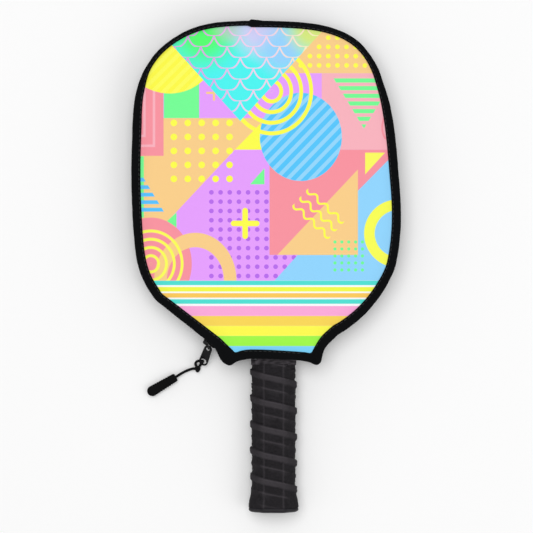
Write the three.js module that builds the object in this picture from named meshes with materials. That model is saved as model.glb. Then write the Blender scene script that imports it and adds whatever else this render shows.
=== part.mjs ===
// A zipped neoprene case for a pickleball-style paddle, lying on its back with the paddle inside.
// Millimetres. X to the right across the case, Y towards the head of the paddle, Z up from the table.
import * as THREE from 'three';

// ---- driving dimensions ------------------------------------------------------------------------
const CASE_DEPTH = 28;          // back face on the table to front face
const MID_Z = CASE_DEPTH / 2;   // height of the zip and of the paddle's middle plane
const PANEL = 4;                // neoprene panel thickness
const PANEL_RIM = [1.1, 3.1];   // heights of the squeezed panel edge inside its binding
const BINDING = 4.2;            // height of the folded binding tape
const BINDING_SKIN = 0.8;       // thickness of one layer of binding
const GAP = 0.3;                // clearance between touching pieces

const TAPE_INSET = 2.5;         // zip tape's outer face, measured in from the case's edge
const TAPE = 0.9;               // zip tape thickness
const COIL = [0.4, 2.2];        // zip coil, inset of its outer and inner faces
const COIL_HEIGHT = 2.5;
const ROW_GAP = 0.8;            // half the gap between the two rows of the zip

const SLIDER_LENGTH = 11;
const SLIDER_HEIGHT = 9;
const SLIDER_PARK = 4.2;        // parked slider's middle, back from the end of the straight zip run
const ARCH_RADIUS = 2.2;
const ARCH_WIRE = 0.6;
const ARCH_OFFSET = 0.9;        // arch centre out from the slider's face
const ARCH_SHIFT = 2;           // arch centre along the slider, towards its nose

const TAB_THICKNESS = 1.2;
const TAB_HOLE = 1.3;
const TAB_EYE = 2.6;            // radius of the lower hole, which takes the cord
const TAB_RIM = 1.3;
const TAB_PITCH = 14;           // from the upper hole to the lower one
const TAB_DROOP = 34;           // degrees below level
const TAB_YAW = 13.7;           // degrees round the arch's wire

const CORD_RADIUS = 1;
const GRIP_LENGTH = 22.3;       // from its square end to the centre of its round tip

const PADDLE_X = 5.8;           // centre line of the paddle
const PADDLE_WIDTH = 190;
const PADDLE_TOP = 193.8;
const CORE = 14.2;              // honeycomb core thickness
const FACE = 0.6;               // face sheet thickness
const GUARD_SKIN = 1;           // edge guard wall
const GUARD_FLANGE = 5;         // how far the guard laps on to each face
const GRIP_WIDTH = 37.5;
const GRIP_DEPTH = 26.5;
const GRIP_CHAMFER = 10.6;
const GRIP_WALL = 2.2;
const GRIP_TOP = -79.6;
const FLARE_TOP = -180.5;
const GRIP_END = -197.6;
const BUTT_END = -201.2;
const BUTT_WIDTH = 40.7;

// ---- helpers -----------------------------------------------------------------------------------
const v2 = (x, y) => new THREE.Vector2(x, y);
const rad = THREE.MathUtils.degToRad;
const mix = THREE.MathUtils.lerp;
const polar = (centre, radius, degrees) =>
  v2(centre.x + radius * Math.cos(rad(degrees)), centre.y + radius * Math.sin(rad(degrees)));

// A smooth plane curve through the given corners.
function through(points) {
  return new THREE.CatmullRomCurve3(points.map(([x, y]) => new THREE.Vector3(x, y, 0)), false, 'centripetal');
}

function material(colour, roughness, metalness = 0) {
  return new THREE.MeshStandardMaterial({ color: colour, roughness, metalness });
}

// A closed body from matching closed sections. With loop, the last section joins the first; without, both
// ends are capped. capPlane gives the two coordinates in which an end section is drawn.
function skin(sections, { loop = false, capPlane = (p) => v2(p.x, p.y) } = {}) {
  const size = sections[0].length;
  const positions = sections.flat().flatMap((p) => [p.x, p.y, p.z]);
  const faces = [];
  const spans = loop ? sections.length : sections.length - 1;
  for (let i = 0; i < spans; i += 1) {
    const a = i * size;
    const b = ((i + 1) % sections.length) * size;
    for (let j = 0; j < size; j += 1) {
      const k = (j + 1) % size;
      faces.push([a + j, a + k, b + k], [a + j, b + k, b + j]);
    }
  }
  if (!loop) {
    const flat = (section) => section.map((p, index) => capPlane(p, index));
    const last = (sections.length - 1) * size;
    const clockwise = THREE.ShapeUtils.isClockWise(flat(sections[0]));
    for (const [a, b, c] of THREE.ShapeUtils.triangulateShape(flat(sections[0]), [])) {
      faces.push(clockwise ? [a, b, c] : [a, c, b]);
    }
    for (const [a, b, c] of THREE.ShapeUtils.triangulateShape(flat(sections.at(-1)), [])) {
      faces.push(clockwise ? [last + a, last + c, last + b] : [last + a, last + b, last + c]);
    }
  }
  return facingOut(positions, faces);
}

// The body's geometry, with its faces turned to point outwards.
function facingOut(positions, faces) {
  const at = (i) => new THREE.Vector3().fromArray(positions, 3 * i);
  let volume = 0;
  for (const [a, b, c] of faces) {
    volume += at(a).dot(at(b).cross(at(c)));
  }
  const index = faces.flatMap(([a, b, c]) => (volume > 0 ? [a, b, c] : [a, c, b]));
  const geometry = new THREE.BufferGeometry();
  geometry.setAttribute('position', new THREE.Float32BufferAttribute(positions, 3));
  geometry.setIndex(index);
  geometry.computeVertexNormals();
  return geometry;
}

// ---- the case's edge ---------------------------------------------------------------------------
// Each stretch of the edge gives, for t from 0 to 1, the outer point and the inner edge of its binding.
// Together they run counterclockwise from the left corner of the throat.
const HINGE_ARC = { centre: v2(6.1, 35.3), radius: 105, from: -60.5, to: -28 };
const ZIP_TOP = v2(-90, -27.8);
const ZIP_END = v2(-43, -65.1);
const along = ZIP_END.clone().sub(ZIP_TOP).normalize();   // down the straight zip run
const outward = v2(along.y, -along.x);                      // away from the case there

function edgeOf(outer, widthAt) {
  return (t) => {
    const p = outer.getPointAt(t);
    const d = outer.getTangentAt(t);
    const n = v2(-d.y, d.x);
    return { p: v2(p.x, p.y), q: v2(p.x, p.y).addScaledVector(n, widthAt(p, t)) };
  };
}

function edgeBetween(outer, inner) {
  return (t) => {
    const p = outer.getPointAt(t);
    const q = inner.getPointAt(t);
    return { p: v2(p.x, p.y), q: v2(q.x, q.y) };
  };
}

const hingeEdge = (t) => {
  const degrees = mix(HINGE_ARC.from, HINGE_ARC.to, t);
  const p = polar(HINGE_ARC.centre, HINGE_ARC.radius, degrees);
  return { p, q: polar(HINGE_ARC.centre, HINGE_ARC.radius - mix(8.6, 7.8, t), degrees) };
};
const hingeStart = hingeEdge(0);
const hingeEnd = hingeEdge(1);

const headCurve = through([
  [hingeEnd.p.x, hingeEnd.p.y], [104.6, -1.8], [108.8, 21.6], [109.8, 46], [108.3, 70.5], [103.3, 119.4],
  [97.4, 143.8], [87.6, 168.3], [73.6, 184.8], [50, 195.8], [0, 200.5], [-52.4, 196.9], [-78.5, 184.6],
  [-94.8, 168.3], [-106, 143.8], [-109.9, 100], [-109.5, 46], [-105.4, 3], [-98.5, -15.5],
  [ZIP_TOP.x, ZIP_TOP.y],
]);
const headWidth = (p, t) => mix(7.7, 5.6, THREE.MathUtils.smoothstep(p.y, 110, 175)) - 0.1 * t;

const zipEdge = (t) => {
  const p = ZIP_TOP.clone().lerp(ZIP_END, t);
  return { p, q: p.clone().addScaledVector(outward, -mix(7.6, 8.7, t)) };
};

const leftEar = edgeBetween(
  through([[ZIP_END.x, ZIP_END.y], [-40.6, -69.4], [-37.6, -75.6], [-34, -79.6], [-29.9, -80.9]]),
  through([[zipEdge(1).q.x, zipEdge(1).q.y], [-25.7, -69.8]]),
);
const throatEdge = edgeBetween(
  through([
    [-29.9, -80.9], [-24.8, -77.9], [-14.5, -75.4], [4, -75.5], [26.5, -76.7], [36.8, -78.6], [41.1, -80.4],
  ]),
  through([[-25.7, -69.8], [-17, -67.9], [-4, -67.7], [20, -69], [36.4, -70.2]]),
);
const rightEar = edgeBetween(
  through([[41.1, -80.4], [44, -78.7], [45.5, -74], [47.4, -67.4], [hingeStart.p.x, hingeStart.p.y]]),
  through([[36.4, -70.2], [44.3, -57.4], [hingeStart.q.x, hingeStart.q.y]]),
);

const sample = (edge, steps, from = 0, to = 1) =>
  Array.from({ length: steps + 1 }, (_, i) => edge(mix(from, to, i / steps)));
const headEdge = edgeOf(headCurve, headWidth);

const throatRun = sample(throatEdge, 12);
const rimRun = [
  ...sample(rightEar, 8, 0, 0.96),
  ...sample(hingeEdge, 8, 0, 0.98),
  ...sample(headEdge, 46, 0, 0.99),
  ...sample(zipEdge, 6, 0, 0.98),
  ...sample(leftEar, 7),
];
const outline = [...throatRun.slice(0, -1), ...rimRun.slice(0, -1)];
const throatBindingRun = sample(throatEdge, 12, 0.008, 0.992);

// A point of the edge's cross-section: share of the way across the binding, plus millimetres inwards.
function place({ p, q }, share, inset, z) {
  const n = q.clone().sub(p).normalize();
  const point = p.clone().lerp(q, share).addScaledVector(n, inset);
  return new THREE.Vector3(point.x, point.y, z);
}

function sweepEdge(run, profile, loop = false) {
  const sections = run.map((edge) => profile.map(([share, inset, z]) => place(edge, share, inset, z)));
  return skin(sections, { loop, capPlane: (_, i) => v2(profile[i][0] * 8 + profile[i][1], profile[i][2]) });
}

// A panel is full thickness inside its binding and squeezed thinner where the binding grips it.
function panelGeometry(base) {
  const level = (share, inset, z) => outline.map((edge) => place(edge, share, inset, base + z));
  return skin([
    level(1, GAP, 0), level(1, GAP, PANEL_RIM[0]), level(0, 1.3, PANEL_RIM[0]),
    level(0, 1.3, PANEL_RIM[1]), level(1, GAP, PANEL_RIM[1]), level(1, GAP, PANEL),
  ]);
}

// Binding tape folded round the panel's edge: a U lying on its side.
function bindingGeometry(run, base) {
  const low = base + BINDING_SKIN;
  const high = base + BINDING - BINDING_SKIN;
  return sweepEdge(run, [
    [0, 0, base], [1, 0, base], [1, 0, low], [0, 1, low],
    [0, 1, high], [1, 0, high], [1, 0, base + BINDING], [0, 0, base + BINDING],
  ]);
}

function wallGeometry(run, from, to, low, high) {
  return sweepEdge(run, [[0, from, low], [0, to, low], [0, to, high], [0, from, high]]);
}

// ---- zip, gusset and panels --------------------------------------------------------------------
const zipRun = [...sample(headEdge, 46, 0.004, 0.99), ...sample(zipEdge, 4, 0, 0.99)];
const gussetRun = sample(hingeEdge, 8, 0.02, 0.985);
const backWall = [BINDING + GAP, MID_Z - ROW_GAP];
const frontWall = [MID_Z + ROW_GAP, CASE_DEPTH - BINDING - GAP];

const black = () => material(0x101113, 0.85);
const pieces = new THREE.Group();

function add(name, geometry, look, parent = pieces) {
  const mesh = new THREE.Mesh(geometry, look);
  mesh.name = name;
  parent.add(mesh);
  return mesh;
}

const frontBase = CASE_DEPTH - PANEL;
add('back_panel', panelGeometry(0), material(0x17181a, 0.9));
add('front_panel', panelGeometry(frontBase), material(0xf6a6c8, 0.8));
add('back_rim_binding', bindingGeometry(rimRun, 0), black());
add('back_throat_binding', bindingGeometry(throatBindingRun, 0), black());
add('front_rim_binding', bindingGeometry(rimRun, CASE_DEPTH - BINDING), black());
add('front_throat_binding', bindingGeometry(throatBindingRun, CASE_DEPTH - BINDING), black());
add('back_zip_tape', wallGeometry(zipRun, TAPE_INSET, TAPE_INSET + TAPE, ...backWall), black());
add('front_zip_tape', wallGeometry(zipRun, TAPE_INSET, TAPE_INSET + TAPE, ...frontWall), black());
add('back_zip_coil', wallGeometry(zipRun, ...COIL, backWall[1] - COIL_HEIGHT, backWall[1]), black());
add('front_zip_coil', wallGeometry(zipRun, ...COIL, frontWall[0], frontWall[0] + COIL_HEIGHT), black());
add('side_gusset_back', wallGeometry(gussetRun, TAPE_INSET, TAPE_INSET + TAPE, ...backWall), black());
add('side_gusset_front', wallGeometry(gussetRun, TAPE_INSET, TAPE_INSET + TAPE, ...frontWall), black());

// ---- slider, arch and pull tab -----------------------------------------------------------------
// The zip frame: x out of the case, y down the zip run, z up, with its origin on the case's edge.
const sliderSpot = ZIP_END.clone().addScaledVector(along, -SLIDER_PARK);
const zipFrame = new THREE.Group();
zipFrame.position.set(sliderSpot.x, sliderSpot.y, MID_Z);
zipFrame.rotation.z = Math.atan2(outward.y, outward.x);
pieces.add(zipFrame);

const PLATE_OUT = [0.2, 1.6];     // outer plate, out from the case's edge
const PLATE_IN = [-4.9, -3.8];    // inner plate, behind the tapes
const WEB_HEIGHT = 0.9;           // of the thin web between the plates, which runs between the zip rows

// Two plates either side of the zip rows, joined by the web.
function sliderGeometry() {
  const section = new THREE.Shape();
  const half = SLIDER_HEIGHT / 2;
  const web = WEB_HEIGHT / 2;
  section.moveTo(PLATE_IN[0], -half);
  section.lineTo(PLATE_IN[1], -half);
  section.lineTo(PLATE_IN[1], -web);
  section.lineTo(PLATE_OUT[0], -web);
  section.lineTo(PLATE_OUT[0], -half);
  section.lineTo(PLATE_OUT[1] - 0.4, -half);
  section.lineTo(PLATE_OUT[1], -half + 0.8);
  section.lineTo(PLATE_OUT[1], half - 0.8);
  section.lineTo(PLATE_OUT[1] - 0.4, half);
  section.lineTo(PLATE_OUT[0], half);
  section.lineTo(PLATE_OUT[0], web);
  section.lineTo(PLATE_IN[1], web);
  section.lineTo(PLATE_IN[1], half);
  section.lineTo(PLATE_IN[0], half);
  section.closePath();
  const body = new THREE.ExtrudeGeometry(section, { depth: SLIDER_LENGTH, bevelEnabled: false });
  return body.translate(0, 0, -SLIDER_LENGTH / 2).rotateX(-Math.PI / 2);
}
add('slider_body', sliderGeometry(), material(0x141416, 0.35, 0.6), zipFrame);

const archFrame = new THREE.Group();
archFrame.position.set(PLATE_OUT[1] + ARCH_OFFSET, ARCH_SHIFT, 0);
zipFrame.add(archFrame);

class ArchCurve extends THREE.Curve {
  getPoint(t, target = new THREE.Vector3()) {
    const angle = mix(-Math.PI / 2, Math.PI / 2, t);
    return target.set(ARCH_RADIUS * Math.cos(angle), 0, ARCH_RADIUS * Math.sin(angle));
  }
}
const wire = new THREE.Shape().absarc(0, 0, ARCH_WIRE, 0, 2 * Math.PI);
add('slider_arch', new THREE.ExtrudeGeometry(wire, {
  steps: 12, curveSegments: 4, extrudePath: new ArchCurve(), bevelEnabled: false,
}), material(0x17171a, 0.35, 0.6), archFrame);

const tabFrame = new THREE.Group();
tabFrame.rotation.y = rad(TAB_DROOP);
archFrame.add(tabFrame);

function tabGeometry() {
  const top = TAB_HOLE + 0.7;
  const foot = TAB_EYE + TAB_RIM;
  const lean = Math.asin((foot - top) / TAB_PITCH);
  const shape = new THREE.Shape();
  shape.absarc(0, 0, top, Math.PI / 2 + lean, 1.5 * Math.PI - lean);
  shape.absarc(TAB_PITCH, 0, foot, -Math.PI / 2 - lean, Math.PI / 2 + lean);
  shape.closePath();
  shape.holes.push(new THREE.Path().absarc(0, 0, TAB_HOLE, 0, 2 * Math.PI, true));
  shape.holes.push(new THREE.Path().absarc(TAB_PITCH, 0, TAB_EYE, 0, 2 * Math.PI, true));
  const plate = new THREE.ExtrudeGeometry(shape, {
    depth: TAB_THICKNESS, bevelEnabled: false, curveSegments: 16,
  });
  return plate.translate(0, 0, -TAB_THICKNESS / 2);
}
const tab = add('pull_tab', tabGeometry(), material(0x1b1b1e, 0.3, 0.7), tabFrame);
tab.position.x = ARCH_RADIUS;
tab.rotation.z = rad(TAB_YAW);

// ---- pull cord ---------------------------------------------------------------------------------
// The cord goes through the tab's lower hole, is knotted, and runs into the grip lying on the table.
const KNOT = new THREE.Vector3(-56.8, -84.5, 2.6);
const KNOT_RADIUS = 2;
const LOOP_ROUTE = [
  [-57.27, -82.74, 4.1], [-58.3, -80.9, 5.2], [-58.2, -79.2, 6.4], [-56.9, -77.9, 7.7], [-54.6, -77.4, 8.4],
  [-53, -77.8, 7.6], [-52.33, -77.8, 6], [-52.27, -78.2, 4], [-52.5, -78.7, 2.2], [-53.6, -80.1, 1.2],
  [-55.5, -82.4, 1.9],
];
const CORD_ROUTE = [
  [-59.1, -84.15, 2.4], [-61.2, -84.3, 2.3], [-64.4, -85.3, 2.4], [-67.6, -86.7, 2.6], [-70.6, -88.4, 2.9],
  [-73.5, -90.45, 3],
];
const GRIP_START = v2(-73.8, -90.6);
const GRIP_ANGLE = 210.6;

function cordGeometry(route, steps) {
  const path = new THREE.CatmullRomCurve3(route.map((p) => new THREE.Vector3(...p)), false, 'centripetal');
  const section = new THREE.Shape().absarc(0, 0, CORD_RADIUS, 0, 2 * Math.PI);
  return new THREE.ExtrudeGeometry(section, {
    steps, curveSegments: 4, extrudePath: path, bevelEnabled: false,
  });
}
const cordLook = () => material(0x0c0c0e, 0.8);
add('cord_loop', cordGeometry(LOOP_ROUTE, 16), cordLook());
add('pull_cord', cordGeometry(CORD_ROUTE, 7), cordLook());
add('cord_knot', new THREE.IcosahedronGeometry(KNOT_RADIUS, 1), cordLook()).position.copy(KNOT);

// A flat moulded bar, square where the cord enters and round at its wider tip.
function gripGeometry() {
  const start = 2.6;
  const end = 3.7;
  const bevel = 0.9;
  const shape = new THREE.Shape();
  shape.moveTo(bevel, -start);
  shape.lineTo(GRIP_LENGTH, -end + bevel / 2);
  shape.absarc(GRIP_LENGTH, 0, end - bevel / 2, -Math.PI / 2, Math.PI / 2);
  shape.lineTo(bevel, start);
  shape.closePath();
  return new THREE.ExtrudeGeometry(shape, {
    depth: 3.2, bevelThickness: bevel, bevelSize: bevel / 2, bevelSegments: 2, curveSegments: 8,
  });
}
const grip = add('pull_grip', gripGeometry(), material(0x0d0d0f, 0.55));
grip.position.set(GRIP_START.x, GRIP_START.y, 1.4);
grip.rotation.z = rad(GRIP_ANGLE);

// ---- paddle ------------------------------------------------------------------------------------
// Half of the face's outline from the neck up to the top centre, on the right of the centre line.
const SHOULDER = 92;              // radius of the head's top corners
const HEEL = 52;                  // radius of the lower corners
const HEEL_SLOPE = 46;            // degrees from square at which a lower corner runs into the neck
const NECK = 17;                  // half width of the neck
const NECK_TOP = -71.4;
const NECK_END = -76;
const half = PADDLE_WIDTH / 2;

function faceOutline(inset) {
  const path = new THREE.Path();
  const side = half - inset;
  const top = PADDLE_TOP - inset;
  const heel = v2(side - HEEL + inset, 26);
  const heelRadius = HEEL - inset;
  path.moveTo(NECK - inset, NECK_END);
  path.lineTo(NECK - inset, NECK_TOP + inset * Math.tan(rad(HEEL_SLOPE / 2)));
  path.absarc(heel.x, heel.y, heelRadius, rad(-HEEL_SLOPE), 0);
  path.absarc(side - SHOULDER + inset, top - SHOULDER + inset, SHOULDER - inset, 0, Math.PI / 2);
  return path.getPoints(10);
}

function faceShape(inset, foot) {
  const right = faceOutline(inset).map((p) => v2(PADDLE_X + p.x, p.y));
  const left = faceOutline(inset).map((p) => v2(PADDLE_X - p.x, p.y)).reverse();
  return new THREE.Shape([...right, ...left, ...foot]);
}

function slab(shape, low, thickness) {
  const plate = new THREE.ExtrudeGeometry(shape, { depth: thickness, bevelEnabled: false });
  return plate.translate(0, 0, low);
}

const TONGUE = 8.4;               // half width of the core inside the handle
const coreInset = GUARD_SKIN + GAP;
const tongue = [
  v2(PADDLE_X - TONGUE, NECK_END), v2(PADDLE_X - TONGUE, GRIP_END + 1),
  v2(PADDLE_X + TONGUE, GRIP_END + 1), v2(PADDLE_X + TONGUE, NECK_END),
];
add('paddle_core', slab(faceShape(coreInset, tongue), MID_Z - CORE / 2, CORE), material(0x2a2a2c, 0.7));
const faceLow = MID_Z + CORE / 2 + GAP;
const faceLook = () => material(0x1f2226, 0.4);
add('paddle_face_front', slab(faceShape(coreInset, []), faceLow, FACE), faceLook());
add('paddle_face_back', slab(faceShape(coreInset, []), 2 * MID_Z - faceLow - FACE, FACE), faceLook());

// The edge guard is a U channel round the head, open at the neck.
function guardGeometry() {
  const right = faceOutline(0).slice(1);
  const whole = [...right, ...right.slice(0, -1).reverse().map((p) => v2(-p.x, p.y))];
  const high = CORE / 2 + GAP + FACE + GAP;
  const profile = [
    [0, -high - GUARD_SKIN], [GUARD_FLANGE, -high - GUARD_SKIN], [GUARD_FLANGE, -high], [GUARD_SKIN, -high],
    [GUARD_SKIN, high], [GUARD_FLANGE, high], [GUARD_FLANGE, high + GUARD_SKIN], [0, high + GUARD_SKIN],
  ];
  const sections = whole.map((p, i) => {
    const next = whole[Math.min(i + 1, whole.length - 1)];
    const before = whole[Math.max(i - 1, 0)];
    const d = next.clone().sub(before).normalize();
    return profile.map(([inset, z]) =>
      new THREE.Vector3(PADDLE_X + p.x - d.y * inset, p.y + d.x * inset, MID_Z + z));
  });
  return skin(sections, { capPlane: (_, i) => v2(profile[i][0], profile[i][1]) });
}
add('edge_guard', guardGeometry(), material(0x151516, 0.6));

// ---- handle ------------------------------------------------------------------------------------
// The handle's section is a flattened octagon, seen along Y.
function octagon(width, depth, chamfer, y) {
  const w = width / 2;
  const d = depth / 2;
  const corners = [
    [w, d - chamfer], [w - chamfer, d], [chamfer - w, d], [-w, d - chamfer],
    [-w, chamfer - d], [chamfer - w, -d], [w - chamfer, -d], [w, chamfer - d],
  ];
  return corners.map(([x, z]) => new THREE.Vector3(PADDLE_X + x, y, MID_Z + z));
}
const flareDepth = CASE_DEPTH;
const seenAlongY = (p) => v2(p.x, p.z);

// A tube: outer sections down the handle, then inner sections back up, closed on itself.
function gripWrapGeometry() {
  const inner = (width, depth, y) =>
    octagon(width - 2 * GRIP_WALL, depth - 2 * GRIP_WALL, GRIP_CHAMFER - 0.6 * GRIP_WALL, y);
  const sections = [
    octagon(GRIP_WIDTH, GRIP_DEPTH, GRIP_CHAMFER, GRIP_TOP),
    octagon(GRIP_WIDTH, GRIP_DEPTH, GRIP_CHAMFER, FLARE_TOP),
    octagon(BUTT_WIDTH, flareDepth, GRIP_CHAMFER, GRIP_END),
    inner(GRIP_WIDTH, GRIP_DEPTH, GRIP_END),
    inner(GRIP_WIDTH, GRIP_DEPTH, GRIP_TOP),
  ];
  return skin(sections, { loop: true });
}
add('grip_wrap', gripWrapGeometry(), material(0x2c2a2d, 0.6));

// Two moulded shells fill the grip either side of the core's tongue.
function palletGeometry(side) {
  const w = GRIP_WIDTH / 2 - GRIP_WALL - GAP;
  const d = GRIP_DEPTH / 2 - GRIP_WALL - GAP;
  const c = GRIP_CHAMFER - 0.6 * GRIP_WALL;
  const slot = [TONGUE + GAP, CORE / 2 + GAP];
  const corners = [
    [w, 0.2], [w, d - c], [w - c, d], [c - w, d], [-w, d - c], [-w, 0.2],
    [-slot[0], 0.2], [-slot[0], slot[1]], [slot[0], slot[1]], [slot[0], 0.2],
  ];
  const section = (y) => corners.map(([x, z]) => new THREE.Vector3(PADDLE_X + x, y, MID_Z + side * z));
  return skin([section(GRIP_TOP - 0.2), section(GRIP_END + 0.2)], { capPlane: seenAlongY });
}
add('handle_pallet_front', palletGeometry(1), material(0x3a3a3c, 0.8));
add('handle_pallet_back', palletGeometry(-1), material(0x3a3a3c, 0.8));

add('butt_cap', skin([
  octagon(BUTT_WIDTH, flareDepth, GRIP_CHAMFER, GRIP_END - GAP),
  octagon(BUTT_WIDTH, flareDepth, GRIP_CHAMFER, BUTT_END + 1),
  octagon(BUTT_WIDTH - 2, flareDepth - 2, GRIP_CHAMFER - 0.6, BUTT_END),
], { capPlane: seenAlongY }), material(0x1c1b1d, 0.5));

export default pieces;
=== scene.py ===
"""The look of a paddle case lying on a table: its camera, fabric, zip, pull cord and the wrapped handle."""

import math

import bmesh
import bpy
import numpy as np
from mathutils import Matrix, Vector, noise


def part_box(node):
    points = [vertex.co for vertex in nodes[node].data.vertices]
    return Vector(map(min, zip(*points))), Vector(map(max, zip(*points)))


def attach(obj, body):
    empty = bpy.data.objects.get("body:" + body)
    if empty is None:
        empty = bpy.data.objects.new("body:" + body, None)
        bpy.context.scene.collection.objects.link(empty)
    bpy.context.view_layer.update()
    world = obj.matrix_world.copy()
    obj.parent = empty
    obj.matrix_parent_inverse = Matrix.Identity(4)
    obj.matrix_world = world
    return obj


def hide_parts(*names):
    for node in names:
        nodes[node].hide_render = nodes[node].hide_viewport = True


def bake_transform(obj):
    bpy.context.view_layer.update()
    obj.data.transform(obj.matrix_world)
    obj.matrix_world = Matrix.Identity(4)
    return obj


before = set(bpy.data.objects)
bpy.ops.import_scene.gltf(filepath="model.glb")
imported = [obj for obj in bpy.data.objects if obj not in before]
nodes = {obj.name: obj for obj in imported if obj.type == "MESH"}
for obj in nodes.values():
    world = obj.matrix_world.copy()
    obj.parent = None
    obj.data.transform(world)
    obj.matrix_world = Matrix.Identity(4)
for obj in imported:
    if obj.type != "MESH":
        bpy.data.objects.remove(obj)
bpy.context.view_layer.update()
scene = bpy.context.scene
MM = 0.001

# ---- sizes the looks need, in metres ----
CASE_DEPTH = 0.028
BINDING = 0.0042
MID_Z = CASE_DEPTH / 2
CAMERA_HEIGHT = 2.4     # above the case
LENS = 198.9            # millimetres, on a 36 mm sensor
CORD_RADIUS = 0.0011
CORD_ROUTE = [          # millimetres, from under the knot through the tab's hole and on to the grip
    (-57.27, -82.74, 4.2), (-58.3, -80.9, 5.2), (-58.2, -79.2, 6.4), (-56.9, -77.9, 7.7), (-54.6, -77.4, 8.4),
    (-53.0, -77.8, 7.6), (-52.33, -77.8, 6.0), (-52.27, -78.2, 4.0), (-52.5, -78.7, 2.2), (-53.6, -80.1, 1.2),
    (-55.5, -82.4, 1.9), (-57.1, -83.8, 2.3), (-59.1, -84.15, 2.4), (-61.2, -84.3, 2.3), (-64.4, -85.3, 2.4),
    (-67.6, -86.7, 2.6), (-70.6, -88.4, 2.9), (-74.6, -90.9, 3.0),
]
KNOT = (-56.8, -84.5, 2.6)      # millimetres


# ---- camera ----
def add_camera():
    data = bpy.data.cameras.new("camera")
    data.sensor_width = 36
    data.lens = LENS
    data.clip_start, data.clip_end = 0.1, 20
    camera = bpy.data.objects.new("camera", data)
    camera.location = (0, 0, CASE_DEPTH + CAMERA_HEIGHT)
    scene.collection.objects.link(camera)
    scene.camera = camera


add_camera()


# ---- mesh helpers ----
def mesh_object(name, points, faces, material=None, smooth=True):
    mesh = bpy.data.meshes.new(name)
    mesh.from_pydata([tuple(map(float, p)) for p in points], [], [tuple(map(int, f)) for f in faces])
    mesh.polygons.foreach_set("use_smooth", [smooth] * len(mesh.polygons))
    if material:
        mesh.materials.append(material)
    mesh.update()
    piece = bpy.data.objects.new(name, mesh)
    scene.collection.objects.link(piece)
    return piece


def strip_attribute(mesh, across, along):
    """Lays a strip's own coordinates on its corners: metres around the section, and metres along it."""
    layer = mesh.attributes.new("strip", "FLOAT_VECTOR", "CORNER")
    flat = np.zeros((len(mesh.loops), 3), np.float32)
    flat[:, 0], flat[:, 1] = across, along
    layer.data.foreach_set("vector", flat.ravel())


def band_faces(rings, sides, first=0):
    """The quads between matching rings of points, which are numbered one ring after another."""
    return [(a + j, a + (j + 1) % sides, a + sides + (j + 1) % sides, a + sides + j)
            for a in range(first, first + (rings - 1) * sides, sides) for j in range(sides)]


def ring_faces(rings, sides):
    """The faces of a closed body: its quads and a cap at each end."""
    last = (rings - 1) * sides
    return band_faces(rings, sides) + [tuple(range(sides))[::-1], tuple(range(last, last + sides))]


def flipped(faces):
    return [f[::-1] for f in faces]


def sweep(name, sections, material, loop=False, smooth=True):
    """A closed body through matching closed sections, capped at both ends unless it is a loop."""
    sections = np.asarray(sections, float)
    count, size = sections.shape[:2]
    points = sections.reshape(-1, 3)
    if loop:
        faces = [tuple(v % len(points) for v in f) for f in band_faces(count + 1, size)]
    else:
        faces = ring_faces(count, size)
    volume = sum(points[f[0]] @ np.cross(points[f[k]], points[f[k + 1]])
                 for f in faces for k in range(1, len(f) - 1))
    steps = np.linalg.norm(np.diff(sections, axis=0, append=sections[:1]), axis=2).mean(1)
    along = sums(steps)
    rounds = np.linalg.norm(np.roll(sections, -1, 1) - sections, axis=2).mean(0)
    across = sums(rounds)
    i, j = np.indices((count if loop else count - 1, size)).reshape(2, -1)
    u = np.stack([across[j], across[j + 1], across[j + 1], across[j]], -1)
    v = np.stack([along[i], along[i], along[i + 1], along[i + 1]], -1)
    if volume < 0:
        faces, u, v = flipped(faces), u[:, ::-1], v[:, ::-1]
    piece = mesh_object(name, points, faces, material, smooth)
    caps = 0 if loop else 2 * size
    strip_attribute(piece.data, np.append(u.ravel(), np.zeros(caps)), np.append(v.ravel(), np.zeros(caps)))
    if not loop:
        for polygon in piece.data.polygons[-2:]:
            polygon.use_smooth = False
    return piece


def circle(count):
    """That many even angles round a full turn."""
    return np.arange(count) * 2 * math.pi / count


def squared(value, power):
    """A sine or cosine raised to a power with its sign kept, which squares a round section."""
    return math.copysign(abs(value) ** power, value)


def unit(vectors):
    """Vectors, one or in rows, brought to length 1."""
    return vectors / np.linalg.norm(vectors, axis=-1, keepdims=True)


def sums(steps):
    """Running totals from 0."""
    return np.concatenate([[0], np.cumsum(steps)])


def smooth_path(points, per_span=10):
    """Points along a Catmull-Rom curve through the given ones."""
    points = np.asarray(points, float)
    ends = np.vstack([2 * points[0] - points[1], points, 2 * points[-1] - points[-2]])
    found = []
    for k in range(len(points) - 1):
        p0, p1, p2, p3 = ends[k:k + 4]
        for t in np.arange(per_span) / per_span:
            found.append(0.5 * (2 * p1 + (p2 - p0) * t + (2 * p0 - 5 * p1 + 4 * p2 - p3) * t ** 2
                                + (3 * p1 - p0 - 3 * p2 + p3) * t ** 3))
    return np.array(found + [points[-1]])


def tube_sections(path, radius, sides=12, closed=False):
    """Rings round a path, turned as little as possible from one to the next."""
    path = np.asarray(path, float)
    tangents = unit(np.roll(path, -1, 0) - np.roll(path, 1, 0) if closed else np.gradient(path, axis=0))
    side = np.cross(tangents[0], (0.1, 0.2, 1))
    rings = []
    turns = circle(sides)
    for centre, tangent in zip(path, tangents):
        side = unit(side - tangent * (side @ tangent))
        up = np.cross(tangent, side)
        rings.append(centre + radius * (np.cos(turns)[:, None] * side + np.sin(turns)[:, None] * up))
    return rings


def run_length(path):
    """Distance along a path at each of its points."""
    return sums(np.linalg.norm(np.diff(path, axis=0), axis=1))


def along_path(distance, ends, path):
    """The point of a path, or of values given along it, at that distance."""
    return np.array([np.interp(distance, ends, path[:, i]) for i in range(path.shape[1])])


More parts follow.
